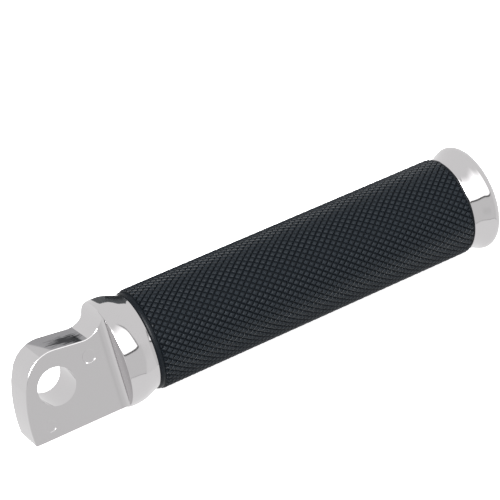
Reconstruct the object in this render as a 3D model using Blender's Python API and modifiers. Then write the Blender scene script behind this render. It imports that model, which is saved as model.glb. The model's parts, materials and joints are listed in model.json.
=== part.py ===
"""Motorcycle foot peg: a chrome mount with a drilled tongue, a rubber sleeve on a ribbed core and an end cap.

Frame, in metres: the origin is the middle of the pivot hole, +X runs along the peg to its outer end,
Y is the pivot pin's line and +Z is up.
"""

import math

import bmesh
import bpy

MM = 0.001
GAP = 0.3  # millimetres left between pieces that touch

# Driving dimensions, in millimetres. Places along the peg are measured from the pivot hole.
SLEEVE_RADIUS = 16.0
SLEEVE_START = 29.2
SLEEVE_LENGTH = 113.2
SLEEVE_END = SLEEVE_START + SLEEVE_LENGTH
SLEEVE_MIDDLE = SLEEVE_START + SLEEVE_LENGTH / 2
SLEEVE_EDGE = 0.9

TONGUE_HALF = 6.85
TONGUE_BOTTOM = -15.3
PIVOT_HOLE_RADIUS = 6.0
END_ARC = (35.4, -12.0, 46.9)  # centre x, centre z, radius of the bowed end of the tongue
CREST_ARC = (1.3, 1.1, 10.1)  # the round over the pivot hole
SCOOP_ARC = (12.2, 17.0, 7.0)  # the hollow that rises to the collar
TONGUE_BLEND = 2.2
TONGUE_ROOT = 23.0

SHOULDER = 19.1
SHOULDER_RADIUS = 16.5
TONGUE_ENVELOPE = 16.8
COLLAR_RADIUS = 17.2
COLLAR_END_RADIUS = 15.25
SPIGOT_RADIUS = 7.0
SPIGOT_END = 38.5

BARREL_RADIUS = 11.8
BARREL_RIBS = 6
RIB_WIDTH = 2.4
RIB_RADIUS = 13.0
BARREL_START = SLEEVE_START + GAP
BARREL_END = SLEEVE_END - GAP
COUNTERBORE_RADIUS = 8.3
COUNTERBORE_FLOOR = 118.0

BOLT_RADIUS = 4.0
BOLT_TIP = 24.0
BOLT_HEAD_RADIUS = 6.5
BOLT_HEAD_HEIGHT = 8.0
BOLT_SOCKET_RADIUS = 3.46
BOLT_SOCKET_DEPTH = 4.0
WASHER_RADIUS = 7.8
FLAT_WASHER_THICKNESS = 1.6
SPRING_WASHER_THICKNESS = 2.0
SPRING_WASHER_RADIUS = 7.0
SPRING_WASHER_SPLIT = 1.2

PIN_RADIUS = 1.25
PIN_OFFSET = 9.5
PIN_START = 25.5
PIN_END = 33.5

STUD_RADIUS = 8.0
STUD_SHANK_RADIUS = 5.0
STUD_START = 131.5
STUD_END = 148.0

RIM_RADIUS = 17.3
CAP_WAIST_RADIUS = 15.45
CAP_FACE = SLEEVE_END + 11.1
O_RING_RADIUS = 10.0
O_RING_SECTION = 0.9

ROUND_STEPS = 64
SMALL_STEPS = 32
UPRIGHT = (math.pi / 2, 0.0, 0.0)
ACROSS = (0.0, math.pi / 2, 0.0)

objects = bpy.data.objects


def clear_scene():
    for obj in list(objects):
        objects.remove(obj, do_unlink=True)


def new_collection(name):
    collection = bpy.data.collections.new(name)
    bpy.context.scene.collection.children.link(collection)
    return collection


def material(name, color, metallic, roughness):
    made = bpy.data.materials.new(name)
    made.use_nodes = True
    shader = made.node_tree.nodes["Principled BSDF"]
    shader.inputs["Base Color"].default_value = (*color, 1.0)
    shader.inputs["Metallic"].default_value = metallic
    shader.inputs["Roughness"].default_value = roughness
    made.diffuse_color = (*color, 1.0)
    return made


def adopt(obj, name, collection, look=None):
    """Names an object, puts it in one collection and gives it its material."""
    obj.name = name
    obj.data.name = name
    for old in list(obj.users_collection):
        old.objects.unlink(obj)
    collection.objects.link(obj)
    if look is not None:
        obj.data.materials.clear()
        obj.data.materials.append(look)
    return obj


def cutter(obj, name):
    adopt(obj, name, cutters)
    obj.hide_render = True
    obj.display_type = "WIRE"
    return obj


def boolean(obj, tool, operation="DIFFERENCE"):
    step = obj.modifiers.new(tool.name, "BOOLEAN")
    step.operation = operation
    step.solver = "EXACT"
    step.object = tool


def arc(centre_x, centre_y, radius, start_deg, end_deg, steps):
    """Points along a round stretch, both ends included."""
    points = []
    for step in range(steps + 1):
        angle = math.radians(start_deg + (end_deg - start_deg) * step / steps)
        points.append((centre_x + radius * math.cos(angle), centre_y + radius * math.sin(angle)))
    return points


def between(before, start, end, after, t):
    """One coordinate of a Catmull-Rom stretch, t of the way from start to end."""
    slope = end - before
    curve = 2 * before - 5 * start + 4 * end - after
    twist = 3 * (start - end) + after - before
    return start + 0.5 * t * (slope + t * (curve + t * twist))


def through(points, steps):
    """A smooth line (Catmull-Rom) through a few points."""
    ends = [points[0], *points, points[-1]]
    line = [points[0]]
    for before, start, end, after in zip(ends, ends[1:], ends[2:], ends[3:]):
        for step in range(1, steps + 1):
            t = step / steps
            line.append(tuple(between(*four, t) for four in zip(before, start, end, after)))
    return line


def turned(name, profile, steps=ROUND_STEPS, closed=False):
    """A shape turned about the peg's axis. The profile holds (x, radius), from the outer end inwards."""
    mesh = bpy.data.meshes.new(name)
    corners = [(radius * MM, 0.0, x * MM) for x, radius in profile]
    edges = [(i, i + 1) for i in range(len(corners) - 1)]
    if closed:
        edges.append((len(corners) - 1, 0))
    mesh.from_pydata(corners, edges, [])
    obj = objects.new(name, mesh)
    bpy.context.scene.collection.objects.link(obj)
    obj.rotation_euler = ACROSS
    spin = obj.modifiers.new("turn", "SCREW")
    spin.axis = "Z"
    spin.steps = steps
    spin.render_steps = steps
    spin.use_merge_vertices = True
    spin.merge_threshold = 1e-6
    return obj


def ring(name, start, end, inner, outer, steps=SMALL_STEPS):
    """A plain tube between two places on the axis."""
    return turned(name, [(end, inner), (end, outer), (start, outer), (start, inner)], steps, closed=True)


def rod(name, start, end, radius, steps=SMALL_STEPS):
    return turned(name, [(end, 0.0), (end, radius), (start, radius), (start, 0.0)], steps)


def cylinder_across(name, radius, depth, steps=48):
    """A cylinder through the pivot hole, along Y."""
    size = {"vertices": steps, "radius": radius * MM, "depth": depth * MM}
    bpy.ops.mesh.primitive_cylinder_add(**size, rotation=UPRIGHT)
    obj = bpy.context.object
    obj.name = name
    return obj


def plate(name, outline, half_thickness, turn=(0.0, 0.0, 0.0), middle=0.0):
    """An outline extruded to both sides of its plane, which is turned from level about the peg's axis."""
    curve = bpy.data.curves.new(name, "CURVE")
    curve.dimensions = "2D"
    curve.fill_mode = "BOTH"
    curve.extrude = half_thickness * MM
    spline = curve.splines.new("POLY")
    spline.points.add(len(outline) - 1)
    for point, (x, y) in zip(spline.points, outline):
        point.co = (x * MM, y * MM, 0.0, 1.0)
    spline.use_cyclic_u = True
    drawn = objects.new(name + "_outline", curve)
    bpy.context.scene.collection.objects.link(drawn)
    drawn.rotation_euler = turn
    drawn.location.x = middle * MM
    bpy.context.view_layer.update()
    solid = bpy.data.meshes.new_from_object(drawn.evaluated_get(bpy.context.evaluated_depsgraph_get()))
    work = bmesh.new()
    work.from_mesh(solid)
    bmesh.ops.remove_doubles(work, verts=work.verts, dist=1e-6)
    bmesh.ops.dissolve_limit(work, angle_limit=math.radians(0.1), verts=work.verts, edges=work.edges)
    bmesh.ops.recalc_face_normals(work, faces=work.faces)
    work.to_mesh(solid)
    work.free()
    obj = objects.new(name, solid)
    obj.matrix_world = drawn.matrix_world
    bpy.context.scene.collection.objects.link(obj)
    objects.remove(drawn)
    return obj


def smooth_round(obj, angle_deg=35):
    """Smooth shading that keeps the real edges sharp."""
    obj.data.shade_smooth()
    obj.data.set_sharp_from_angle(angle=math.radians(angle_deg))
    for step in obj.modifiers:
        if step.type == "SCREW":
            step.use_smooth_shade = True


def tongue_outline():
    """Side view: flat bottom, sharp heel, bowed end, round crest, then the scoop up to the collar."""
    x, z, radius = END_ARC
    start = 180 - math.degrees(math.asin((TONGUE_BOTTOM - z) / radius))
    points = [(TONGUE_ROOT, TONGUE_BOTTOM)]
    points += arc(x, z, radius, start, 162.4, 8)
    points += arc(*CREST_ARC, 157.0, 82.5, 14)
    points += arc(*SCOOP_ARC, -97.5, 0.0, 12)
    points += [(TONGUE_ROOT, SCOOP_ARC[1])]
    return points


def tongue_plan():
    """Top view: two flat sides that blend outwards into the collar's shoulder."""
    blend_x = SHOULDER + 0.1 - TONGUE_BLEND
    blend_y = TONGUE_HALF + TONGUE_BLEND
    root = TONGUE_ROOT + 1.0
    near = arc(blend_x, -blend_y, TONGUE_BLEND, 90, 0, 6)
    far = arc(blend_x, blend_y, TONGUE_BLEND, 0, -90, 6)
    return [(-20.0, -TONGUE_HALF), *near, (root, -blend_y), (root, blend_y), *far, (-20.0, TONGUE_HALF)]


def collar_profile():
    """The bolt's hole, the spigot, then the collar from the sleeve over its full round to the shoulder."""
    bell = through(
        [
            (SLEEVE_START, COLLAR_END_RADIUS),
            (26.6, 15.95),
            (24.2, 16.85),
            (22.0, COLLAR_RADIUS),
            (20.2, 17.1),
            (SHOULDER, SHOULDER_RADIUS),
        ],
        3,
    )
    hole_radius = BOLT_RADIUS + GAP
    hole = [(BOLT_TIP - 1.0, 0.0), (BOLT_TIP - 1.0, hole_radius), (SPIGOT_END, hole_radius)]
    spigot = [(SPIGOT_END, SPIGOT_RADIUS), (SLEEVE_START, SPIGOT_RADIUS)]
    return [*hole, *spigot, *bell, (SHOULDER, 0.0)]


def make_mount_casting(look):
    casting = turned("mount_casting", collar_profile())
    tongue = plate("tongue", tongue_outline(), TONGUE_HALF + TONGUE_BLEND + 2.0, UPRIGHT)
    plan = cutter(plate("tongue_plan", tongue_plan(), 20.0), "tongue_plan")
    envelope = cutter(rod("tongue_envelope", -20.0, 25.0, TONGUE_ENVELOPE, ROUND_STEPS), "tongue_envelope")
    boolean(tongue, plan, "INTERSECT")
    boolean(tongue, envelope, "INTERSECT")
    boolean(casting, cutter(tongue, "tongue"), "UNION")
    boolean(casting, cutter(cylinder_across("pivot_hole", PIVOT_HOLE_RADIUS, 40.0), "pivot_hole"))
    for name, side in (("upper", 1), ("lower", -1)):
        hole = rod(f"{name}_pin_hole", PIN_START - GAP, PIN_END + GAP, PIN_RADIUS + GAP, 24)
        hole.location.z = side * PIN_OFFSET * MM
        boolean(casting, cutter(hole, f"{name}_pin_hole"))
    smooth_round(casting)
    return adopt(casting, "mount_casting", pieces, look)


def ribbed_outline(radius, rib_radius, rib_width):
    """A round with straight-sided ribs, seen along the peg."""
    foot = math.degrees(math.asin(rib_width / 2 / radius))
    crown = math.degrees(math.asin(rib_width / 2 / rib_radius))
    pitch = 360 / BARREL_RIBS
    points = []
    for index in range(BARREL_RIBS):
        rib = index * pitch
        points += arc(0.0, 0.0, rib_radius, rib - crown, rib + crown, 2)
        points += arc(0.0, 0.0, radius, rib + foot, rib + pitch - foot, 6)
    return points


def barrel_profile():
    """A round blank bored for the spigot, for the bolt, and for the bolt's head and the stud."""
    blank_radius = RIB_RADIUS + 1.0
    bore_radius = BOLT_RADIUS + GAP
    socket_radius = SPIGOT_RADIUS + GAP
    socket_end = SPIGOT_END + GAP
    return [
        (BARREL_END, COUNTERBORE_RADIUS),
        (BARREL_END, blank_radius),
        (BARREL_START, blank_radius),
        (BARREL_START, socket_radius),
        (socket_end, socket_radius),
        (socket_end, bore_radius),
        (COUNTERBORE_FLOOR, bore_radius),
        (COUNTERBORE_FLOOR, COUNTERBORE_RADIUS),
    ]


def make_core_barrel(look):
    barrel = turned("core_barrel", barrel_profile(), SMALL_STEPS, closed=True)
    outline = ribbed_outline(BARREL_RADIUS, RIB_RADIUS, RIB_WIDTH)
    ribs = plate("barrel_ribs", outline, SLEEVE_LENGTH, ACROSS, SLEEVE_MIDDLE)
    boolean(barrel, cutter(ribs, "barrel_ribs"), "INTERSECT")
    for name, side in (("upper", 1), ("lower", -1)):
        hole = rod(f"barrel_{name}_pin_hole", PIN_START, PIN_END + GAP, PIN_RADIUS + GAP, 24)
        hole.location.z = side * PIN_OFFSET * MM
        boolean(barrel, cutter(hole, hole.name))
    smooth_round(barrel)
    return adopt(barrel, "core_barrel", pieces, look)


def make_rubber_sleeve(look):
    """A plain tube with rounded ends, bored to slide over the ribbed barrel."""
    start = SLEEVE_START + GAP
    end = SLEEVE_END - GAP
    inner_edge = SLEEVE_RADIUS - SLEEVE_EDGE
    profile = [(end, 0.0)]
    profile += arc(end - SLEEVE_EDGE, inner_edge, SLEEVE_EDGE, 0, 90, 3)
    profile += arc(start + SLEEVE_EDGE, inner_edge, SLEEVE_EDGE, 90, 180, 3)
    profile += [(start, 0.0)]
    sleeve = turned("rubber_sleeve", profile)
    outline = ribbed_outline(BARREL_RADIUS + GAP, RIB_RADIUS + GAP, RIB_WIDTH + 2 * GAP)
    bore = plate("sleeve_bore", outline, SLEEVE_LENGTH, ACROSS, SLEEVE_MIDDLE)
    boolean(sleeve, cutter(bore, "sleeve_bore"))
    smooth_round(sleeve)
    return adopt(sleeve, "rubber_sleeve", pieces, look)


def cap_profile():
    """From the middle of the face over the rim to the waist, then the back with its ring groove and hole."""
    face = through(
        [
            (CAP_FACE, 0.0),
            (CAP_FACE - 0.1, 5.0),
            (CAP_FACE - 0.6, 11.0),
            (CAP_FACE - 1.5, 14.8),
            (CAP_FACE - 3.0, 16.8),
            (SLEEVE_END + 6.4, RIM_RADIUS),
            (SLEEVE_END + 4.6, 16.7),
            (SLEEVE_END + 2.8, 15.8),
            (SLEEVE_END + 1.0, CAP_WAIST_RADIUS),
            (SLEEVE_END, 15.55),
        ],
        2,
    )
    groove_floor = SLEEVE_END + 2 * (O_RING_SECTION + GAP)
    groove_inner = O_RING_RADIUS - O_RING_SECTION - GAP
    groove_outer = O_RING_RADIUS + O_RING_SECTION + GAP
    hole_end = STUD_END + GAP
    hole_radius = STUD_SHANK_RADIUS + GAP
    return [
        *face,
        (SLEEVE_END, groove_outer),
        (groove_floor, groove_outer),
        (groove_floor, groove_inner),
        (SLEEVE_END, groove_inner),
        (SLEEVE_END, hole_radius),
        (hole_end, hole_radius),
        (hole_end, 0.0),
    ]


def make_end_cap(look):
    cap = turned("end_cap", cap_profile())
    smooth_round(cap)
    return adopt(cap, "end_cap", pieces, look)


def make_fasteners(steel, rubber):
    """The bolt with its washers, the two locating pins, the cap's stud and its O-ring."""
    flat_start = COUNTERBORE_FLOOR + GAP
    flat_end = flat_start + FLAT_WASHER_THICKNESS
    spring_start = flat_end + GAP
    spring_end = spring_start + SPRING_WASHER_THICKNESS
    head_start = spring_end + GAP
    head_end = head_start + BOLT_HEAD_HEIGHT
    clearance = BOLT_RADIUS + GAP

    bolt = turned(
        "core_bolt",
        [
            (head_end, 0.0),
            (head_end, BOLT_HEAD_RADIUS - 0.5),
            (head_end - 0.5, BOLT_HEAD_RADIUS),
            (head_start, BOLT_HEAD_RADIUS),
            (head_start, BOLT_RADIUS),
            (BOLT_TIP + 0.8, BOLT_RADIUS),
            (BOLT_TIP, BOLT_RADIUS - 0.8),
            (BOLT_TIP, 0.0),
        ],
        SMALL_STEPS,
    )
    key = rod("bolt_key_socket", head_end - BOLT_SOCKET_DEPTH, head_end + 1.0, BOLT_SOCKET_RADIUS, 6)
    boolean(bolt, cutter(key, "bolt_key_socket"))

    flat_washer = ring("core_bolt_flat_washer", flat_start, flat_end, clearance, WASHER_RADIUS)
    spring_washer = ring("core_bolt_spring_washer", spring_start, spring_end, clearance, SPRING_WASHER_RADIUS)
    bpy.ops.mesh.primitive_cube_add(
        size=1.0,
        location=((spring_start + spring_end) / 2 * MM, 0.0, SPRING_WASHER_RADIUS * MM),
        rotation=(0.0, 0.0, math.radians(25)),
        scale=(8.0 * MM, SPRING_WASHER_SPLIT * MM, SPRING_WASHER_RADIUS * MM),
    )
    boolean(spring_washer, cutter(bpy.context.object, "spring_washer_split"))

    stud = turned(
        "cap_stud",
        [
            (STUD_END, 0.0),
            (STUD_END, STUD_SHANK_RADIUS - 0.4),
            (STUD_END - 0.4, STUD_SHANK_RADIUS),
            (SLEEVE_END - GAP, STUD_SHANK_RADIUS),
            (SLEEVE_END - GAP, STUD_RADIUS),
            (STUD_START + 1.0, STUD_RADIUS),
            (STUD_START, STUD_RADIUS - 1.0),
            (STUD_START, 0.0),
        ],
        SMALL_STEPS,
    )

    bpy.ops.mesh.primitive_torus_add(
        location=((SLEEVE_END + GAP + O_RING_SECTION) * MM, 0.0, 0.0),
        rotation=ACROSS,
        major_segments=40,
        minor_segments=8,
        major_radius=O_RING_RADIUS * MM,
        minor_radius=O_RING_SECTION * MM,
    )
    o_ring = bpy.context.object

    made = [bolt, flat_washer, spring_washer, stud]
    for name, side in (("upper", 1), ("lower", -1)):
        pin = rod(f"locating_pin_{name}", PIN_START, PIN_END, PIN_RADIUS, 24)
        pin.location.z = side * PIN_OFFSET * MM
        made.append(pin)
    for piece in made:
        smooth_round(piece)
        adopt(piece, piece.name, pieces, steel)
    smooth_round(o_ring)
    adopt(o_ring, "cap_o_ring", pieces, rubber)


def main():
    chrome = material("chrome_plate", (0.62, 0.61, 0.61), 1.0, 0.08)
    black_rubber = material("sleeve_rubber", (0.012, 0.015, 0.018), 0.0, 0.45)
    aluminium = material("core_aluminium", (0.70, 0.70, 0.72), 1.0, 0.35)
    zinc_steel = material("zinc_plated_steel", (0.55, 0.56, 0.58), 1.0, 0.3)
    ring_rubber = material("o_ring_rubber", (0.02, 0.02, 0.02), 0.0, 0.5)
    make_mount_casting(chrome)
    make_core_barrel(aluminium)
    make_rubber_sleeve(black_rubber)
    make_end_cap(chrome)
    make_fasteners(zinc_steel, ring_rubber)


clear_scene()
pieces = new_collection("foot_peg")
cutters = new_collection("cutters")
main()
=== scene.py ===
"""Foot peg: builds the chrome mount, the knurled rubber sleeve and the end cap around their CAD frame.

Everything is in metres in the part's own frame: the pivot hole's middle is the origin, +X runs along the peg
to its end cap, Y is the pivot pin's line and +Z is up.
"""

import json
import math

import bmesh
import bpy
from mathutils import Matrix, Vector


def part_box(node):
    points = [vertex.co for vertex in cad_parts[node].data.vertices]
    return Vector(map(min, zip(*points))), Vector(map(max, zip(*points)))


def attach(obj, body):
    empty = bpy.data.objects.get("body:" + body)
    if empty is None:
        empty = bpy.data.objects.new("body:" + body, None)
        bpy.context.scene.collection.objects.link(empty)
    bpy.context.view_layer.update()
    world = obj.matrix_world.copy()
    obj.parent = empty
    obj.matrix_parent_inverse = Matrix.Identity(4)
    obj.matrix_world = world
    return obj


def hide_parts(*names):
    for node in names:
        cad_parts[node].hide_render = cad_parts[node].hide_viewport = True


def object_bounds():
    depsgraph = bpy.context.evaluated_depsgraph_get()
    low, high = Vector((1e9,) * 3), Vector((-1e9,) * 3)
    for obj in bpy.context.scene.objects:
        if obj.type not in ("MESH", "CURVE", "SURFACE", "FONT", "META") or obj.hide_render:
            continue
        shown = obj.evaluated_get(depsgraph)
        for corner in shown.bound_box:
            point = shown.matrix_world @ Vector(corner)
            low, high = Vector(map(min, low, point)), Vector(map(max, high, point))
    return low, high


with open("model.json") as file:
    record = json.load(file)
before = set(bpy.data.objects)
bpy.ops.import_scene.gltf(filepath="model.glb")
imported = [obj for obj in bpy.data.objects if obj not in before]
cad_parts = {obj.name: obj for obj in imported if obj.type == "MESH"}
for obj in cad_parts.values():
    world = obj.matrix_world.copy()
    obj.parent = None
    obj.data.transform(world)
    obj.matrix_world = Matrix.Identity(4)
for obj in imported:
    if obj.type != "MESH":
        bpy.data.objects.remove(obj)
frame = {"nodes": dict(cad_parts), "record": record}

bl_info = {
    "name": "Foot Peg",
    "version": (1, 0, 0),
    "blender": (4, 5, 0),
    "location": "3D View > Sidebar > Foot Peg",
    "description": "Models a motorcycle foot peg with a chrome mount, a knurled rubber sleeve and an end cap",
    "category": "Add Mesh",
}

MM = 0.001
CAD_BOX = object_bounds()
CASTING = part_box("mount_casting")
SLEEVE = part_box("rubber_sleeve")
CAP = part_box("end_cap")
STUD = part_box("cap_stud")
O_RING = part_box("cap_o_ring")
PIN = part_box("locating_pin_upper")
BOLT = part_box("core_bolt")

ALONG = (1.0, 0.0, 0.0)
LYING = (0.0, math.pi / 2, 0.0)  # turns a primitive's own axis to the peg's
THROUGH = (math.pi / 2, 0.0, 0.0)  # turns it to the pivot pin's
FULL_TURN = 2 * math.pi
TURNED_STEPS = 192  # steps round the turned pieces
PROFILE_STEPS = 5  # steps between two points of their profiles
SEAM = 0.1 * MM  # what shows between the rubber and the chrome
CLEARANCE = 0.3 * MM  # between pieces that touch in the real peg
MERGE = 1e-6  # points closer than this are one point
SHARP_EDGE = math.radians(50)  # an edge that turns more than this was a corner before polishing
CHROME_CREASE = 32.0  # degrees between two chrome faces from which their edge stays sharp
RUBBER_CREASE = 24.0


def length(name, description, default):
    return bpy.props.FloatProperty(
        name=name, description=description, default=default, min=0.0, subtype="DISTANCE", unit="LENGTH"
    )


def colour(name, description, hex_code):
    return bpy.props.FloatVectorProperty(
        name=name,
        description=description,
        default=linear(hex_code),
        size=3,
        min=0.0,
        max=1.0,
        subtype="COLOR",
    )


def share(name, description, default):
    return bpy.props.FloatProperty(
        name=name, description=description, default=default, min=0.0, max=1.0, subtype="FACTOR"
    )


def linear(hex_code):
    """The linear colour of an sRGB hex value such as "C8C7C9"."""
    parts = [int(hex_code[i : i + 2], 16) / 255 for i in (0, 2, 4)]
    return tuple(p / 12.92 if p <= 0.04045 else ((p + 0.055) / 1.055) ** 2.4 for p in parts)


CREST_RISE = 0.15 * MM  # the knurl's crests stand a little above the plain tube of the frame


class FootPegSizes(bpy.types.PropertyGroup):
    """Sizes that come from the CAD frame or sit inside it."""

    sleeve_radius: length("Sleeve radius", "Radius over the knurl's crests", SLEEVE[1].z + CREST_RISE)
    groove_depth: length("Groove depth", "Depth of the knurl's grooves", 0.56 * MM)
    plain_band: length("Plain band", "Smooth stretch at the inner end of the sleeve", 1.6 * MM)
    tongue_thickness: length("Tongue thickness", "Width between the tongue's two flat sides", 13.7 * MM)
    hole_radius: length("Pivot hole radius", "Radius of the hole for the pivot pin", 6.0 * MM)
    edge_round: length("Edge round", "Round left on the casting's edges by polishing", 0.4 * MM)
    rows: bpy.props.IntProperty(
        name="Knurl rows", description="Rows of the knurl along the sleeve", default=41
    )
    starts: bpy.props.IntProperty(
        name="Knurl starts", description="Grooves of each hand", default=45
    )


class FootPegFinishes(bpy.types.PropertyGroup):
    """Colours and gloss of the finishes."""

    chrome: colour("Chrome", "Mirror colour of the chrome plate", "CDCBCC")
    # painted reflection on the tongue's flat top: a grey base colour with dark lines over it, standing in for
    # the mirrored image of a second peg behind it
    chrome_painted_grey: colour("Dull chrome", "Mirror colour of the ground flat on the tongue", "A3A2A4")
    streaks: colour("Streaks", "Colour of the dark streaks on that flat", "1A1B1D")
    # painted shade and light on the rubber: it is painted darkest deep in the grooves and paler towards the
    # crests
    rubber: colour("Rubber", "Colour of the moulded rubber, deep in the grooves", "05080C")
    rubber_painted_crest_light: colour("Rubber crests", "Colour of the rubber where it is handled", "13171B")
    aluminium: colour("Aluminium", "Mirror colour of the core's aluminium", "D9DADC")
    zinc: colour("Zinc plate", "Mirror colour of the plated steel", "C9CCD0")
    chrome_roughness: share("Chrome roughness", "Blur of the chrome's reflections", 0.06)
    rubber_roughness: share("Rubber roughness", "Blur of the rubber's sheen", 0.4)


# ---------------------------------------------------------------- modelling by hand


def nothing_selected():
    if bpy.context.object and bpy.context.object.mode != "OBJECT":
        bpy.ops.object.mode_set(mode="OBJECT")
    bpy.ops.object.select_all(action="DESELECT")


def only(piece):
    """Makes one object the selected and the active one."""
    nothing_selected()
    piece.select_set(True)
    bpy.context.view_layer.objects.active = piece
    return piece


def edit(piece):
    only(piece)
    bpy.ops.object.mode_set(mode="EDIT")


def pick(piece, kind, rule):
    """Selects, in edit mode, just the vertices, edges or faces that the rule is true for."""
    bpy.ops.mesh.select_mode(type=kind)
    bpy.ops.mesh.select_all(action="DESELECT")
    work = bmesh.from_edit_mesh(piece.data)
    for element in {"VERT": work.verts, "EDGE": work.edges, "FACE": work.faces}[kind]:
        if rule(element):
            element.select_set(True)
    work.select_flush_mode()
    bmesh.update_edit_mesh(piece.data)


def all_picked():
    bpy.ops.mesh.select_all(action="SELECT")


def placed(piece, name):
    """Names a new object and moves its place and turn into its mesh."""
    piece.name = name
    piece.data.name = name
    only(piece)
    bpy.ops.object.transform_apply(location=True, rotation=True, scale=True)
    return piece


def drawn(name, points, closed=False):
    """A line of edges drawn point by point, left in edit mode with all of it selected."""
    nothing_selected()
    bpy.ops.mesh.primitive_plane_add(size=MM, location=points[0])
    piece = placed(bpy.context.object, name)
    edit(piece)
    bpy.ops.mesh.select_mode(type="VERT")
    all_picked()
    bpy.ops.mesh.merge(type="CENTER")
    for before, after in zip(points, points[1:]):
        step = Vector(after) - Vector(before)
        bpy.ops.mesh.extrude_vertices_move(TRANSFORM_OT_translate={"value": step})
    if closed:
        ends = (Vector(points[0]), Vector(points[-1]))
        pick(piece, "VERT", lambda v: any((v.co - end).length < MERGE for end in ends))
        bpy.ops.mesh.edge_face_add()
    bpy.ops.mesh.select_mode(type="VERT")
    all_picked()
    return piece


def extruded(name, outline, step):
    """A solid pulled out of a filled flat outline."""
    piece = drawn(name, outline, closed=True)
    bpy.ops.mesh.edge_face_add()
    all_picked()
    bpy.ops.mesh.extrude_region_move(TRANSFORM_OT_translate={"value": step})
    cleaned()
    bpy.ops.object.mode_set(mode="OBJECT")
    return piece


def turned(name, profile):
    """A piece turned about the peg's axis from a profile of (x, radius)."""
    piece = drawn(name, [(x, 0.0, radius) for x, radius in profile])
    bpy.ops.mesh.spin(steps=TURNED_STEPS, angle=FULL_TURN, center=(0.0, 0.0, 0.0), axis=ALONG)
    cleaned()
    bpy.ops.object.mode_set(mode="OBJECT")
    return piece


def cleaned():
    """Merges what lies on the same spot, then turns every face outwards."""
    all_picked()
    bpy.ops.mesh.remove_doubles(threshold=MERGE)
    all_picked()
    bpy.ops.mesh.normals_make_consistent(inside=False)


def sealed(piece):
    """Closes the hairline gaps that a cut can leave, and stops if an edge is still open."""
    edit(piece)
    cleaned()
    bpy.ops.mesh.fill_holes(sides=0)
    cleaned()
    bpy.ops.object.mode_set(mode="OBJECT")
    check = bmesh.new()
    check.from_mesh(piece.data)
    still_open = sum(not edge.is_manifold for edge in check.edges)
    check.free()
    if still_open:
        raise RuntimeError(f"{piece.name} has {still_open} open edges")


def finished(piece, modifier, kind, **settings):
    """Adds a modifier with its settings and applies it."""
    step = piece.modifiers.new(modifier, kind)
    for key, value in settings.items():
        setattr(step, key, value)
    only(piece)
    bpy.ops.object.modifier_apply(modifier=modifier)
    return piece


def combined(piece, tool, operation):
    """Cuts, joins or keeps the overlap of two solids. The tool is used up."""
    finished(piece, operation.title(), "BOOLEAN", operation=operation, solver="EXACT", object=tool)
    bpy.data.objects.remove(tool, do_unlink=True)
    return piece


def rod(name, start, end, radius, steps=48, height=0.0):
    """A plain rod along the peg, used to cut holes."""
    nothing_selected()
    bpy.ops.mesh.primitive_cylinder_add(
        vertices=steps,
        radius=radius,
        depth=end - start,
        location=((start + end) / 2, 0.0, height),
        rotation=LYING,
    )
    return placed(bpy.context.object, name)


def shaded(piece, angle_deg):
    """Smooth shading that keeps real edges sharp and flat faces flat."""
    only(piece)
    bpy.ops.object.shade_smooth_by_angle(angle=math.radians(angle_deg))
    return finished(piece, "Flat faces", "WEIGHTED_NORMAL", keep_sharp=True, weight=80)


def handed_over(piece, look, node):
    """Gives a finished piece its material and ties it to the CAD."""
    piece.data.materials.clear()
    piece.data.materials.append(look)
    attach(piece, "root")
    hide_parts(node)


def arc(centre_x, centre_y, radius, start_deg, end_deg, steps):
    """Points along a round stretch, both ends included."""
    points = []
    for step in range(steps + 1):
        angle = math.radians(start_deg + (end_deg - start_deg) * step / steps)
        points.append((centre_x + radius * math.cos(angle), centre_y + radius * math.sin(angle)))
    return points


def through(points, steps):
    """A smooth line (Catmull-Rom) through a few points."""
    knots = [Vector(p) for p in (points[0], *points, points[-1])]
    line = [tuple(points[0])]
    for before, start, end, after in zip(knots, knots[1:], knots[2:], knots[3:]):
        for step in range(1, steps + 1):
            t = step / steps
            bend = (2 * before - 5 * start + 4 * end - after) + t * (3 * (start - end) + after - before)
            line.append(tuple(start + 0.5 * t * ((end - before) + t * bend)))
    return line


def in_metres(points):
    return [tuple(value * MM for value in point) for point in points]


# ---------------------------------------------------------------- materials

HAZE_MM = 9.0  # size of the patches where the chrome is a little duller
PAINTED_REFLECTION_SLANT = (1.0, 0.25, 0.0)  # the painted grey reflection starts along a slanted line
PAINTED_REFLECTION_START = 0.2 * MM
# middle and half sizes of the dark patch of painted reflection on the tongue's top
PAINTED_PATCH_MIDDLE = (7.8 * MM, -2.0 * MM, 10.5 * MM)
PAINTED_PATCH_HALF_SIZES = (5.5 * MM, 4.2 * MM, 5.0 * MM)
PAINTED_PATCH_PULL = 0.42  # how strongly the dark lines of the painted reflection gather in the dark patch
STREAK_EDGE = (0.5, 0.7)  # noise level where a streak of painted reflection starts and where it is full
STREAK_BUMP_HEIGHT = 0.012 * MM
GRAIN_HEIGHT = 0.008 * MM
GRAIN_BLUR = 0.06  # how much the grain varies the rubber's roughness


def add(tree, kind, settings=None, links=None):
    """Adds a shader node, sets its properties and inputs, and links other nodes' outputs to it."""
    node = tree.nodes.new(kind)
    for key, value in (settings or {}).items():
        if isinstance(key, int) or key in node.inputs:
            node.inputs[key].default_value = value
        else:
            setattr(node, key, value)
    for key, source in (links or {}).items():
        tree.links.new(source, node.inputs[key])
    return node


def new_look(name):
    """A material with an empty tree that ends in a Principled shader."""
    look = bpy.data.materials.new(name)
    look.use_nodes = True
    tree = look.node_tree
    tree.nodes.clear()
    shader = add(tree, "ShaderNodeBsdfPrincipled")
    add(tree, "ShaderNodeOutputMaterial", links={"Surface": shader.outputs[0]})
    return look, tree, shader


def rgba(value):
    return (*value, 1.0)


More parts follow.
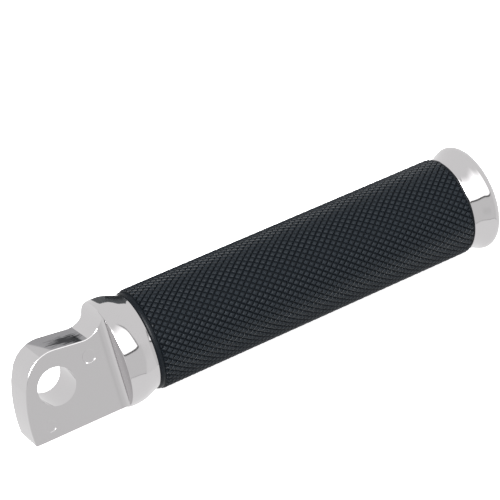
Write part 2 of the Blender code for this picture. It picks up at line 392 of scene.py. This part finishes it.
def chrome_plate(name, finish, ripple_mm, ripple_height_mm):
    """Bright chrome plate over polished metal: a near-mirror with a slow ripple from hand buffing."""
    look, tree, shader = new_look(name)
    place = add(tree, "ShaderNodeTexCoord")
    ripple = add(
        tree,
        "ShaderNodeTexNoise",
        {"Scale": 1.0 / (ripple_mm * MM), "Detail": 1.0, "Roughness": 0.4},
        {"Vector": place.outputs["Object"]},
    )
    haze = add(
        tree,
        "ShaderNodeTexNoise",
        {"Scale": 1.0 / (HAZE_MM * MM), "Detail": 3.0},
        {"Vector": place.outputs["Object"]},
    )
    blur = add(
        tree,
        "ShaderNodeMapRange",
        {
            "From Min": 0.3,
            "From Max": 0.7,
            "To Min": finish.chrome_roughness * 0.7,
            "To Max": finish.chrome_roughness * 1.3,
        },
        {"Value": haze.outputs["Fac"]},
    )
    bump = add(
        tree,
        "ShaderNodeBump",
        {"Strength": 1.0, "Distance": ripple_height_mm * MM},
        {"Height": ripple.outputs["Fac"]},
    )
    shader.inputs["Base Color"].default_value = rgba(finish.chrome)
    shader.inputs["Metallic"].default_value = 1.0
    tree.links.new(blur.outputs["Result"], shader.inputs["Roughness"])
    tree.links.new(bump.outputs["Normal"], shader.inputs["Normal"])
    return look


def chrome_with_painted_reflection(name, finish, line_mm=0.8, line_length_mm=5.0):
    """Chrome plate with a painted reflection on the tongue's flat top: its base colour is greyer than the
    rest, with dark lines.

    The painted dark lines run along the peg and gather in one dark patch, and the painted grey fades out on
    the crest.
    """
    look, tree, shader = new_look(name)
    place = add(tree, "ShaderNodeTexCoord").outputs["Object"]
    stretch = add(
        tree,
        "ShaderNodeMapping",
        {"Scale": (1.0 / (line_length_mm * MM), 1.0 / (line_mm * MM), 1.0 / (line_mm * MM))},
        {"Vector": place},
    )
    lines = add(
        tree,
        "ShaderNodeTexNoise",
        {"Scale": 1.0, "Detail": 3.0, "Roughness": 0.6},
        {"Vector": stretch.outputs["Vector"]},
    )
    slant = add(
        tree, "ShaderNodeVectorMath", {"operation": "DOT_PRODUCT", 1: PAINTED_REFLECTION_SLANT}, {0: place}
    )
    painted_grey_mask = add(
        tree,
        "ShaderNodeMapRange",
        {"From Min": PAINTED_REFLECTION_START - 0.5 * MM, "From Max": PAINTED_REFLECTION_START + 0.2 * MM, "To Max": 0.95},
        {"Value": slant.outputs["Value"]},
    )
    painted_dark_patch = add(
        tree,
        "ShaderNodeMapping",
        {"vector_type": "TEXTURE", "Location": PAINTED_PATCH_MIDDLE, "Scale": PAINTED_PATCH_HALF_SIZES},
        {"Vector": place},
    )
    off_middle = add(
        tree, "ShaderNodeVectorMath", {"operation": "LENGTH"}, {0: painted_dark_patch.outputs["Vector"]}
    )
    depth = add(
        tree,
        "ShaderNodeMath",
        {"operation": "MULTIPLY_ADD", 1: -PAINTED_PATCH_PULL, 2: PAINTED_PATCH_PULL},
        {0: off_middle.outputs["Value"]},
    )
    streaks = add(
        tree, "ShaderNodeMath", {"operation": "ADD"}, {0: lines.outputs["Fac"], 1: depth.outputs[0]}
    )
    dark = add(
        tree,
        "ShaderNodeMapRange",
        {"From Min": STREAK_EDGE[0], "From Max": STREAK_EDGE[1]},
        {"Value": streaks.outputs[0]},
    )
    # painted reflection: a grey base colour on the flat top, with dark lines mixed over it
    grey = add(tree, "ShaderNodeMix", {"data_type": "RGBA"}, {"Factor": painted_grey_mask.outputs["Result"]})
    grey.inputs[6].default_value = rgba(finish.chrome)
    grey.inputs[7].default_value = rgba(finish.chrome_painted_grey)
    shown = add(
        tree,
        "ShaderNodeMath",
        {"operation": "MULTIPLY"},
        {0: dark.outputs["Result"], 1: painted_grey_mask.outputs["Result"]},
    )
    tint = add(
        tree, "ShaderNodeMix", {"data_type": "RGBA"}, {"Factor": shown.outputs[0], 6: grey.outputs[2]}
    )
    tint.inputs[7].default_value = rgba(finish.streaks)
    bump = add(
        tree,
        "ShaderNodeBump",
        {"Strength": 1.0, "Distance": STREAK_BUMP_HEIGHT},
        {"Height": lines.outputs["Fac"]},
    )
    shader.inputs["Metallic"].default_value = 1.0
    shader.inputs["Roughness"].default_value = 0.12
    # The painted reflection also darkens the plate at a low angle.
    shader.inputs["Specular Tint"].default_value = (0.62, 0.62, 0.63, 1.0)
    tree.links.new(tint.outputs[2], shader.inputs["Base Color"])
    tree.links.new(bump.outputs["Normal"], shader.inputs["Normal"])
    return look


def moulded_rubber(name, finish, painted_shade_from, painted_light_to, grain_mm=0.3):
    """Carbon-black nitrile rubber from a steel mould: a matt skin with fine grain and a soft, bluish sheen.

    Its base colour is painted by distance from the axis: darkest at the inner radius as painted shade deep in
    the grooves, a paler grey at the outer radius as painted light on the crests.
    """
    look, tree, shader = new_look(name)
    place = add(tree, "ShaderNodeTexCoord")
    flat = add(
        tree,
        "ShaderNodeVectorMath",
        {"operation": "MULTIPLY", 1: (0.0, 1.0, 1.0)},
        {0: place.outputs["Object"]},
    )
    off_axis = add(tree, "ShaderNodeVectorMath", {"operation": "LENGTH"}, {0: flat.outputs["Vector"]})
    grain = add(
        tree,
        "ShaderNodeTexNoise",
        {"Scale": 1.0 / (grain_mm * MM), "Detail": 2.0},
        {"Vector": place.outputs["Object"]},
    )
    painted_depth_shade = add(
        tree,
        "ShaderNodeMapRange",
        {"From Min": painted_shade_from, "From Max": painted_light_to},
        {"Value": off_axis.outputs["Value"]},
    )
    # painted shade and light: darker deep in the grooves, paler on the crests
    tint = add(tree, "ShaderNodeMix", {"data_type": "RGBA"}, {"Factor": painted_depth_shade.outputs["Result"]})
    tint.inputs[6].default_value = rgba(finish.rubber)
    tint.inputs[7].default_value = rgba(finish.rubber_painted_crest_light)
    blur = add(
        tree,
        "ShaderNodeMapRange",
        {
            "From Min": 0.3,
            "From Max": 0.7,
            "To Min": finish.rubber_roughness - GRAIN_BLUR,
            "To Max": finish.rubber_roughness + GRAIN_BLUR,
        },
        {"Value": grain.outputs["Fac"]},
    )
    bump = add(
        tree,
        "ShaderNodeBump",
        {"Strength": 1.0, "Distance": GRAIN_HEIGHT},
        {"Height": grain.outputs["Fac"]},
    )
    tree.links.new(tint.outputs[2], shader.inputs["Base Color"])
    tree.links.new(blur.outputs["Result"], shader.inputs["Roughness"])
    tree.links.new(bump.outputs["Normal"], shader.inputs["Normal"])
    shader.inputs["IOR"].default_value = 1.52
    shader.inputs["Specular IOR Level"].default_value = 0.105
    return look


def lined_metal(name, metal, roughness, pitch_mm, line_height_mm):
    """Metal with fine lines round the peg's axis, as a lathe or a drawing die leaves them."""
    look, tree, shader = new_look(name)
    place = add(tree, "ShaderNodeTexCoord")
    stretch = add(
        tree,
        "ShaderNodeMapping",
        {"Scale": (1.0 / (pitch_mm * MM), 60.0, 60.0)},
        {"Vector": place.outputs["Object"]},
    )
    lines = add(
        tree,
        "ShaderNodeTexNoise",
        {"Scale": 1.0, "Detail": 2.0},
        {"Vector": stretch.outputs["Vector"]},
    )
    spots = add(
        tree,
        "ShaderNodeTexNoise",
        {"Scale": 1.0 / (2.5 * MM), "Detail": 3.0},
        {"Vector": place.outputs["Object"]},
    )
    tint = add(tree, "ShaderNodeMix", {"data_type": "RGBA"}, {"Factor": spots.outputs["Fac"]})
    tint.inputs[6].default_value = rgba(tuple(0.88 * c for c in metal))
    tint.inputs[7].default_value = rgba(metal)
    blur = add(
        tree,
        "ShaderNodeMapRange",
        {"From Min": 0.3, "From Max": 0.7, "To Min": roughness * 0.8, "To Max": roughness * 1.2},
        {"Value": lines.outputs["Fac"]},
    )
    bump = add(
        tree,
        "ShaderNodeBump",
        {"Strength": 0.6, "Distance": line_height_mm * MM},
        {"Height": lines.outputs["Fac"]},
    )
    tree.links.new(tint.outputs[2], shader.inputs["Base Color"])
    tree.links.new(blur.outputs["Result"], shader.inputs["Roughness"])
    tree.links.new(bump.outputs["Normal"], shader.inputs["Normal"])
    shader.inputs["Metallic"].default_value = 1.0
    return look


# ---------------------------------------------------------------- the mount

COLLAR_END = SLEEVE[0].x - CLEARANCE
COLLAR_LENGTH = 10.1 * MM
SHOULDER = COLLAR_END - COLLAR_LENGTH
TONGUE_BOTTOM = -15.3 * MM
TONGUE_ROOT = SHOULDER + 3.0 * MM
# The rounds of the tongue's side view: centre x, centre z and radius, in millimetres.
END_BOW = (35.4, -12.0, 46.9)
CREST = (1.3, 1.1, 10.1)  # over the pivot hole
SCOOP = (12.0, 17.2, 7.2)  # the hollow that rises to the collar
COVE_RADIUS = 4.65 * MM
COVE_TURN = 48.8  # degrees that the cove turns before it meets the shoulder
COVE_STEPS = 10
COVE_OVERLAP = 0.05 * MM
POLISHED_COVE = 1.3 * MM  # how far the polished edge runs into the cove
TONGUE_REACH = 12.0 * MM  # half of what the side view is pulled out before it's cut to the plan
EJECTOR_MARKS = (  # x, z and radius
    (11.9 * MM, 4.7 * MM, 2.1 * MM),
    (-5.5 * MM, -10.9 * MM, 1.8 * MM),
)
MARK_DEPTH = 0.04 * MM
MARK_SLOPE = 1.6  # how much wider than deep a mark's wall is
CASTING_PIT = ((10.2 * MM, 6.85 * MM, 5.0 * MM), 0.35 * MM)  # middle and radius
ENVELOPE_START = -20.0 * MM
ENVELOPE_RADIUS = 16.65 * MM  # the tongue stays inside the collar's shoulder
PIN_HOLE_RADIUS = 1.55 * MM
PAINTED_REFLECTION_TILT = 0.93  # how upright a face's normal must be on the tongue's top to get the painted reflection


def tongue_side_view():
    """Flat bottom, sharp heel, bowed end, round crest, then the scoop up to the collar, in millimetres."""
    x, z, radius = END_BOW
    bottom, root = TONGUE_BOTTOM / MM, TONGUE_ROOT / MM
    heel = 180 - math.degrees(math.asin((bottom - z) / radius))
    points = [(root, bottom)]
    points += arc(x, z, radius, heel, 162.4, 18)
    points += arc(*CREST, 157.0, 82.5, 32)
    points += arc(*SCOOP, -97.5, 0.0, 36)
    points += [(root, SCOOP[1])]
    return points


def tongue_plan(half):
    """The tongue from above: parallel sides, then a cove on each side that sweeps out to the shoulder."""
    start = SHOULDER + COVE_OVERLAP - COVE_RADIUS * math.sin(math.radians(COVE_TURN))
    cove = arc(start, half + COVE_RADIUS, COVE_RADIUS, -90.0, COVE_TURN - 90.0, COVE_STEPS)
    edge = [(CAD_BOX[0].x - 5 * MM, half), *cove, (TONGUE_ROOT + 1 * MM, cove[-1][1])]
    return edge + [(x, -y) for x, y in reversed(edge)]


def tongue(size):
    """The tongue: its side view cut to its plan, with polished edges, a pivot hole and casting marks."""
    half = size.tongue_thickness / 2
    outline = [(x, -TONGUE_REACH, z) for x, z in in_metres(tongue_side_view())]
    piece = extruded("tongue", outline, (0.0, 2 * TONGUE_REACH, 0.0))
    plan = [(x, y, -TONGUE_REACH * 2) for x, y in tongue_plan(half)]
    combined(piece, extruded("plan", plan, (0.0, 0.0, 4 * TONGUE_REACH)), "INTERSECT")
    edit(piece)
    polished_to = tongue_plan(half)[1][0] + POLISHED_COVE

    def at_the_side(edge):
        return all(abs(v.co.y) > half - MERGE and v.co.x < polished_to for v in edge.verts)

    pick(
        piece,
        "EDGE",
        lambda e: e.is_manifold and e.calc_face_angle() > SHARP_EDGE and at_the_side(e),
    )
    bpy.ops.mesh.bevel(offset=size.edge_round, segments=4, clamp_overlap=False)
    cleaned()
    bpy.ops.object.mode_set(mode="OBJECT")
    combined(piece, pin_hole(size), "DIFFERENCE")
    for x, z, radius in EJECTOR_MARKS:
        mark = dimple("ejector_mark", (x, -half, z), radius, MARK_DEPTH, MARK_SLOPE)
        combined(piece, mark, "DIFFERENCE")
    middle, radius = CASTING_PIT
    combined(piece, dimple("casting_pit", middle, radius, radius, 1.0), "DIFFERENCE")
    return piece


def dimple(name, middle, radius, depth, slope):
    """A cutter for a shallow round mark with sloping walls in the tongue's side."""
    nothing_selected()
    out = math.copysign(1.0, middle[1])
    bpy.ops.mesh.primitive_cone_add(
        vertices=48,
        radius1=radius - slope * depth,
        radius2=radius + slope * depth,
        depth=2 * depth,
        location=middle,
        rotation=(-out * math.pi / 2, 0.0, 0.0),
    )
    return placed(bpy.context.object, name)


def pin_hole(size):
    nothing_selected()
    bpy.ops.mesh.primitive_cylinder_add(
        vertices=128, radius=size.hole_radius, depth=2 * size.tongue_thickness, rotation=THROUGH
    )
    return placed(bpy.context.object, "pivot_hole")


def collar_profile():
    """The bolt's hole, the spigot, then the collar from the sleeve over its full round to the shoulder."""
    end = COLLAR_END / MM
    bell = [
        (end, 15.25),
        (end - 0.8, 15.44),
        (end - 1.6, 15.74),
        (end - 2.4, 16.04),
        (end - 3.2, 16.34),
        (end - 4.0, 16.63),
        (end - 4.8, 16.87),
        (end - 5.8, 17.07),
        (end - 7.2, 17.2),
        (end - 8.6, 17.22),
        (end - 9.5, 17.12),
        (end - 9.95, 17.0),
        (end - 10.1, 16.8),
    ]
    bolt_end = BOLT[0].x / MM - 1.0
    spigot_end = CASTING[1].x / MM
    bolt_hole_radius = 4.3
    spigot_radius = 7.0
    points = [(bolt_end, 0.0), (bolt_end, bolt_hole_radius), (spigot_end, bolt_hole_radius)]
    points += [(spigot_end, spigot_radius), (end, spigot_radius), *through(bell, PROFILE_STEPS)]
    points += [(end - COLLAR_LENGTH / MM, 0.0)]
    return in_metres(points)


class FOOTPEG_OT_mount_casting(bpy.types.Operator):
    """Models the chrome mount: the drilled tongue, the domed collar and the spigot inside the sleeve."""

    bl_idname = "footpeg.mount_casting"
    bl_label = "Mount Casting"
    bl_options = {"REGISTER", "UNDO"}

    def execute(self, context):
        size = context.scene.foot_peg_sizes
        piece = turned("chrome_mount", collar_profile())
        blade = tongue(size)
        envelope = rod("envelope", ENVELOPE_START, SHOULDER + 2 * MM, ENVELOPE_RADIUS, TURNED_STEPS)
        combined(blade, envelope, "INTERSECT")
        combined(piece, blade, "UNION")
        for side in (1, -1):
            height = side * (PIN[0].z + PIN[1].z) / 2
            hole = rod("pin_hole", PIN[0].x - CLEARANCE, CASTING[1].x, PIN_HOLE_RADIUS, 24, height)
            combined(piece, hole, "DIFFERENCE")
        sealed(piece)
        shaded(piece, CHROME_CREASE)
        finish = context.scene.foot_peg_finishes
        look = chrome_plate(
            "chrome_on_polished_casting", finish, ripple_mm=5.0, ripple_height_mm=0.045
        )
        handed_over(piece, look, "mount_casting")
        # the flat top gets the chrome with a painted reflection of a second peg behind it
        piece.data.materials.append(chrome_with_painted_reflection("chrome_with_painted_twin_reflection", finish))
        edit(piece)
        lowest = (SCOOP[1] - SCOOP[2] - 0.1) * MM
        furthest = (SCOOP[0] + 1.0) * MM

        def on_top(face):
            middle = face.calc_center_median()
            return face.normal.z > PAINTED_REFLECTION_TILT and middle.z > lowest and middle.x < furthest

        pick(piece, "FACE", on_top)
        piece.active_material_index = 1
        bpy.ops.object.material_slot_assign()
        bpy.ops.object.mode_set(mode="OBJECT")
        return {"FINISHED"}


# ---------------------------------------------------------------- the sleeve

SLEEVE_BORE = 13.35 * MM
OUTER_BAND = 0.55 * MM  # smooth stretch at the cap's end
MOUNT_LIP = 1.0 * MM
CAP_LIP = 0.35 * MM
BAND_DROP = 0.42 * MM  # how far the smooth ends lie below the crests
DIAMOND_STEPS = (  # width of each step of a diamond and its rise
    (0.07 * MM, 0.0),
    (0.18 * MM, 0.36 * MM),
    (0.40 * MM, 0.18 * MM),
)
LIP_ANGLES = (0, 15, 30, 45, 60, 75, 90)
SAME_SPOT = 1e-5  # what counts as the same place when edges are found or rows are joined


class FOOTPEG_OT_rubber_sleeve(bpy.types.Operator):
    """Models the rubber sleeve: raised diamonds between crossed grooves, and a smooth lip at each end."""

    bl_idname = "footpeg.rubber_sleeve"
    bl_label = "Rubber Sleeve"
    bl_options = {"REGISTER", "UNDO"}

    def execute(self, context):
        size = context.scene.foot_peg_sizes
        start, end = COLLAR_END + SEAM, CAP[0].x - SEAM
        floor_radius = size.sleeve_radius - size.groove_depth
        first, last = start + size.plain_band, end - OUTER_BAND
        row = (last - first) / size.rows
        nothing_selected()
        bpy.ops.mesh.primitive_cylinder_add(
            vertices=size.starts,
            radius=floor_radius,
            depth=row,
            end_fill_type="NOTHING",
            location=(first + row / 2, 0.0, 0.0),
            rotation=LYING,
        )
        piece = placed(bpy.context.object, "knurled_sleeve")
        finished(
            piece,
            "Rows",
            "ARRAY",
            count=size.rows,
            use_relative_offset=False,
            use_constant_offset=True,
            constant_offset_displace=(row, 0.0, 0.0),
            use_merge_vertices=True,
            merge_threshold=SAME_SPOT,
        )
        edit(piece)
        corners = len(piece.data.vertices)
        all_picked()
        sag = floor_radius * (1 - math.cos(math.pi / size.starts))
        bpy.ops.mesh.select_mode(type="FACE")
        bpy.ops.mesh.poke(offset=sag)
        pick(
            piece,
            "EDGE",
            lambda e: all(v.index < corners for v in e.verts) and not e.is_boundary,
        )
        bpy.ops.mesh.dissolve_edges(use_verts=False)
        pick(piece, "FACE", lambda f: True)
        for rim, rise in DIAMOND_STEPS:
            bpy.ops.mesh.inset(thickness=rim, depth=rise, use_individual=True, use_boundary=True)
        self.lips(piece, size, start, end, first, last, floor_radius)
        sealed(piece)
        shaded(piece, RUBBER_CREASE)
        finish = context.scene.foot_peg_finishes
        # painted shade from the groove floor, painted light towards the crests
        look = moulded_rubber(
            "moulded_black_rubber", finish, floor_radius, size.sleeve_radius - 0.1 * MM
        )
        handed_over(piece, look, "rubber_sleeve")
        return {"FINISHED"}

    def lips(self, piece, size, start, end, first, last, floor_radius):
        """The plain band, the round lip and the end face at both ends, and the bore between them."""
        outer = size.sleeve_radius - BAND_DROP
        for face, edge, way, lip in ((start, first, 1, MOUNT_LIP), (end, last, -1, CAP_LIP)):
            radius = floor_radius
            x = edge
            pick(
                piece,
                "EDGE",
                lambda e: e.is_boundary and all(abs(v.co.x - edge) < SAME_SPOT for v in e.verts),
            )
            line = [(edge - way * 0.1 * MM, outer - 0.06 * MM), (edge - way * 0.2 * MM, outer)]
            for angle in (math.radians(degrees) for degrees in LIP_ANGLES):
                inward = way * (lip - lip * math.sin(angle))
                line.append((face + inward, outer - lip * (1 - math.cos(angle))))
            line.append((face, SLEEVE_BORE))
            for to_x, to_radius in line:
                bpy.ops.mesh.extrude_edges_move(TRANSFORM_OT_translate={"value": (to_x - x, 0.0, 0.0)})
                grow = to_radius / radius
                bpy.ops.transform.resize(value=(1.0, grow, grow), center_override=(to_x, 0.0, 0.0))
                x, radius = to_x, to_radius
        pick(piece, "EDGE", lambda e: e.is_boundary)
        bpy.ops.mesh.bridge_edge_loops()
        cleaned()
        bpy.ops.object.mode_set(mode="OBJECT")


# ---------------------------------------------------------------- the cap


def cap_profile():
    """From the middle of the face over the rim to the waist, then the back with its ring groove and hole."""
    start = CAP[0].x / MM
    face = [
        (start + 11.08, 0.0),
        (start + 11.02, 4.0),
        (start + 10.85, 8.0),
        (start + 10.45, 11.6),
        (start + 9.75, 14.4),
        (start + 8.85, 16.1),
        (start + 7.9, 16.95),
        (start + 6.9, 17.27),
        (start + 6.1, 17.22),
        (start + 5.3, 16.95),
        (start + 4.4, 16.5),
        (start + 3.4, 16.05),
        (start + 2.4, 15.75),
        (start + 1.2, 15.55),
        (start + 0.3, 15.5),
        (start, 15.3),
    ]
    play = CLEARANCE / MM
    ring_thickness = 1.8
    groove_outer = O_RING[1].y / MM + play
    groove_inner = O_RING[1].y / MM - ring_thickness - play
    floor = O_RING[1].x / MM + play
    hole_end = STUD[1].x / MM + play
    hole_radius = 5.3
    points = [*through(face, PROFILE_STEPS), (start, groove_outer), (floor, groove_outer)]
    points += [(floor, groove_inner), (start, groove_inner)]
    points += [(start, hole_radius), (hole_end, hole_radius), (hole_end, 0.0)]
    return in_metres(points)


class FOOTPEG_OT_end_cap(bpy.types.Operator):
    """Models the chrome end cap: a waist, a flared rim and a smooth domed face."""

    bl_idname = "footpeg.end_cap"
    bl_label = "End Cap"
    bl_options = {"REGISTER", "UNDO"}

    def execute(self, context):
        piece = turned("chrome_cap", cap_profile())
        sealed(piece)
        shaded(piece, CHROME_CREASE)
        finish = context.scene.foot_peg_finishes
        look = chrome_plate("chrome_on_turned_cap", finish, ripple_mm=5.0, ripple_height_mm=0.03)
        handed_over(piece, look, "end_cap")
        return {"FINISHED"}


# ---------------------------------------------------------------- the pieces inside


class FOOTPEG_OT_inner_pieces(bpy.types.Operator):
    """Gives the barrel, the bolt, the pins, the stud and the ring inside the peg their finishes."""

    bl_idname = "footpeg.inner_pieces"
    bl_label = "Inner Pieces"
    bl_options = {"REGISTER", "UNDO"}

    def execute(self, context):
        finish = context.scene.foot_peg_finishes
        aluminium = lined_metal(
            "extruded_aluminium", finish.aluminium, roughness=0.32, pitch_mm=0.25, line_height_mm=0.01
        )
        zinc = lined_metal(
            "zinc_plated_steel", finish.zinc, roughness=0.26, pitch_mm=0.12, line_height_mm=0.005
        )
        # the ring gets the same painted shade and light across its radius
        ring = moulded_rubber("nitrile_ring", finish, O_RING[0].z, O_RING[1].z)
        looks = {"core_aluminium": aluminium, "plated_steel": zinc, "o_ring_rubber": ring}
        for part in frame["record"]["subparts"]:
            look = looks.get(part["material_slot"])
            if look is not None:
                node = frame["nodes"][part["node"]]
                node.data.materials.clear()
                node.data.materials.append(look)
        return {"FINISHED"}


# ---------------------------------------------------------------- the stage

FLOOR_RADIUS = 6.0
FLOOR_MIDDLE = (0.07, 0.0, CAD_BOX[0].z)
FLOOR_GLOW = 0.95
FLAG_RADIUS = 21.0 * MM
FLAG_LENGTH = 103.0 * MM
FLAG_MIDDLE = (87.0 * MM, 46.0 * MM, 31.0 * MM)
CAMERA_PLACE = (-126.2 * MM, -502.35 * MM, 214.1 * MM)
CAMERA_RIGHT = (0.8625, -0.4408, -0.2484)
CAMERA_UP = (0.3704, 0.21562, 0.9035)
CAMERA_LENS = 135.55
CAMERA_SENSOR = 36.0
ROOM_BRIGHTNESS = 0.92
STUDIO = (
    # What the chrome mirrors: brightness added, turn from -Y towards +X, elevation,
    # and soft edges (low turn, high turn, low elevation, high elevation), all in degrees.
    (-0.11, (-54.0, 55.0), (-42.0, 7.0), (10.0, 4.0, 1.0, 1.0)),  # the table's near side
    (-0.14, (-28.0, -14.0), (-26.0, -18.0), (14.0, 14.0, 10.0, 10.0)),  # the camera's tripod
    (0.05, (-200.0, 200.0), (-95.0, -42.0), (1.0, 1.0, 1.0, 1.0)),  # the table under the peg
    (-0.35, (-62.0, 55.0), (-42.8, -41.4), (6.0, 4.0, 0.5, 0.5)),  # the table's edge
    (-0.7, (-70.0, 44.0), (5.2, 8.8), (4.0, 2.0, 1.2, 0.4)),  # the soft box's lower rim
    (1.1, (-72.0, 42.0), (9.2, 56.0), (4.0, 3.0, 0.5, 14.0)),  # the soft box
    (-0.5, (43.5, 47.5), (6.0, 62.0), (1.0, 2.0, 1.0, 6.0)),  # its upright edge
    (30.0, (-68.0, -28.0), (20.0, 46.0), (6.0, 6.0, 6.0, 6.0)),  # its lamp
)


def studio_world(scene):
    """A pale room with one large soft box behind the camera, which the chrome mirrors.

    The camera itself sees plain white.
    """
    world = bpy.data.worlds.new("studio")
    scene.world = world
    world.use_nodes = True
    tree = world.node_tree
    tree.nodes.clear()
    way = add(tree, "ShaderNodeTexCoord")
    parts = add(tree, "ShaderNodeSeparateXYZ", links={"Vector": way.outputs["Generated"]})
    rise = add(tree, "ShaderNodeMath", {"operation": "ARCSINE"}, {0: parts.outputs["Z"]})
    ahead = add(tree, "ShaderNodeMath", {"operation": "MULTIPLY", 1: -1.0}, {0: parts.outputs["Y"]})
    turn = add(
        tree,
        "ShaderNodeMath",
        {"operation": "ARCTAN2"},
        {0: parts.outputs["X"], 1: ahead.outputs[0]},
    )

    def band(source, low, high, soft_low, soft_high):
        """1 between two angles in degrees, falling to 0 over a soft edge at each side."""
        up = add(
            tree,
            "ShaderNodeMapRange",
            {
                "interpolation_type": "SMOOTHSTEP",
                "From Min": math.radians(low - soft_low),
                "From Max": math.radians(low + soft_low),
            },
            {"Value": source},
        )
        down = add(
            tree,
            "ShaderNodeMapRange",
            {
                "interpolation_type": "SMOOTHSTEP",
                "From Min": math.radians(high - soft_high),
                "From Max": math.radians(high + soft_high),
                "To Min": 1.0,
                "To Max": 0.0,
            },
            {"Value": source},
        )
        return add(
            tree,
            "ShaderNodeMath",
            {"operation": "MULTIPLY"},
            {0: up.outputs[0], 1: down.outputs[0]},
        )

    def patch(azimuth, elevation, edges):
        across = band(turn.outputs[0], *azimuth, *edges[:2])
        along = band(rise.outputs[0], *elevation, *edges[2:])
        return add(
            tree,
            "ShaderNodeMath",
            {"operation": "MULTIPLY"},
            {0: across.outputs[0], 1: along.outputs[0]},
        )

    level = add(tree, "ShaderNodeValue")
    level.outputs[0].default_value = ROOM_BRIGHTNESS
    for brightness, azimuth, elevation, edges in STUDIO:
        shape = patch(azimuth, elevation, edges)
        level = add(
            tree,
            "ShaderNodeMath",
            {"operation": "MULTIPLY_ADD", 1: brightness},
            {0: shape.outputs[0], 2: level.outputs[0]},
        )
    white = rgba(linear("FFFFFF"))
    seen = add(tree, "ShaderNodeLightPath")
    light = add(tree, "ShaderNodeBackground", {"Color": white}, {"Strength": level.outputs[0]})
    plain = add(tree, "ShaderNodeBackground", {"Color": white, "Strength": 1.0})
    mix = add(
        tree,
        "ShaderNodeMixShader",
        links={0: seen.outputs["Is Camera Ray"], 1: light.outputs[0], 2: plain.outputs[0]},
    )
    add(tree, "ShaderNodeOutputWorld", links={"Surface": mix.outputs[0]})


def pale_paper(name):
    """Matt white studio paper, lit from below so that the floor melts into the room."""
    look, _, shader = new_look(name)
    shader.inputs["Base Color"].default_value = rgba(linear("E7E7E7"))
    shader.inputs["Roughness"].default_value = 0.9
    shader.inputs["Specular IOR Level"].default_value = 0.0
    shader.inputs["Emission Color"].default_value = rgba(linear("FFFFFF"))
    shader.inputs["Emission Strength"].default_value = FLOOR_GLOW
    return look


def black_felt(name):
    """Black wool felt: it gives the chrome something nearly black to mirror."""
    look, _, shader = new_look(name)
    shader.inputs["Base Color"].default_value = rgba(linear("1D2124"))
    return look


class FOOTPEG_OT_stage(bpy.types.Operator):
    """Sets up the pale floor, the soft studio light and the camera."""

    bl_idname = "footpeg.stage"
    bl_label = "Stage"
    bl_options = {"REGISTER", "UNDO"}

    def execute(self, context):
        scene = context.scene
        studio_world(scene)
        self.floor()
        self.flag()
        self.camera(scene)
        scene.view_settings.view_transform = "Standard"
        return {"FINISHED"}

    def floor(self):
        nothing_selected()
        bpy.ops.mesh.primitive_circle_add(
            vertices=64, radius=FLOOR_RADIUS, fill_type="NGON", location=FLOOR_MIDDLE
        )
        floor = placed(bpy.context.object, "floor")
        floor.visible_glossy = False
        floor.data.materials.append(pale_paper("pale_paper"))

    def flag(self):
        """A black flag behind the peg, which only the chrome mirrors, as a dark band on its rims."""
        nothing_selected()
        bpy.ops.mesh.primitive_cylinder_add(
            vertices=64, radius=FLAG_RADIUS, depth=FLAG_LENGTH, location=FLAG_MIDDLE, rotation=LYING
        )
        flag = placed(bpy.context.object, "black_flag")
        flag.data.materials.append(black_felt("black_felt"))
        flag.visible_camera = False
        flag.visible_diffuse = False
        flag.visible_shadow = False

    def camera(self, scene):
        bpy.ops.object.camera_add()
        camera = bpy.context.object
        camera.name = "camera"
        right = Vector(CAMERA_RIGHT)
        back = right.cross(Vector(CAMERA_UP)).normalized()
        up = back.cross(right).normalized()
        turn = Matrix((right.normalized(), up, back)).transposed()
        camera.matrix_world = Matrix.Translation(Vector(CAMERA_PLACE)) @ turn.to_4x4()
        camera.data.sensor_width = CAMERA_SENSOR
        camera.data.lens = CAMERA_LENS
        camera.data.clip_start = 0.01
        camera.data.clip_end = 100.0
        scene.camera = camera


class VIEW3D_PT_foot_peg(bpy.types.Panel):
    """Lists the foot peg's sizes, finishes and pieces."""

    bl_label = "Foot Peg"
    bl_idname = "VIEW3D_PT_foot_peg"
    bl_space_type = "VIEW_3D"
    bl_region_type = "UI"
    bl_category = "Foot Peg"

    def draw(self, context):
        scene = context.scene
        for group in (scene.foot_peg_sizes, scene.foot_peg_finishes):
            box = self.layout.box()
            for name in group.__annotations__:
                box.prop(group, name)
        for operator in OPERATORS:
            self.layout.operator(operator.bl_idname)


OPERATORS = (
    FOOTPEG_OT_mount_casting,
    FOOTPEG_OT_rubber_sleeve,
    FOOTPEG_OT_end_cap,
    FOOTPEG_OT_inner_pieces,
    FOOTPEG_OT_stage,
)
CLASSES = (FootPegSizes, FootPegFinishes, *OPERATORS, VIEW3D_PT_foot_peg)


def register():
    for made in CLASSES:
        bpy.utils.register_class(made)
    bpy.types.Scene.foot_peg_sizes = bpy.props.PointerProperty(type=FootPegSizes)
    bpy.types.Scene.foot_peg_finishes = bpy.props.PointerProperty(type=FootPegFinishes)


def unregister():
    del bpy.types.Scene.foot_peg_finishes
    del bpy.types.Scene.foot_peg_sizes
    for made in reversed(CLASSES):
        bpy.utils.unregister_class(made)


def main():
    register()
    bpy.ops.footpeg.mount_casting()
    bpy.ops.footpeg.rubber_sleeve()
    bpy.ops.footpeg.end_cap()
    bpy.ops.footpeg.inner_pieces()
    bpy.ops.footpeg.stage()


if __name__ == "__main__":
    main()
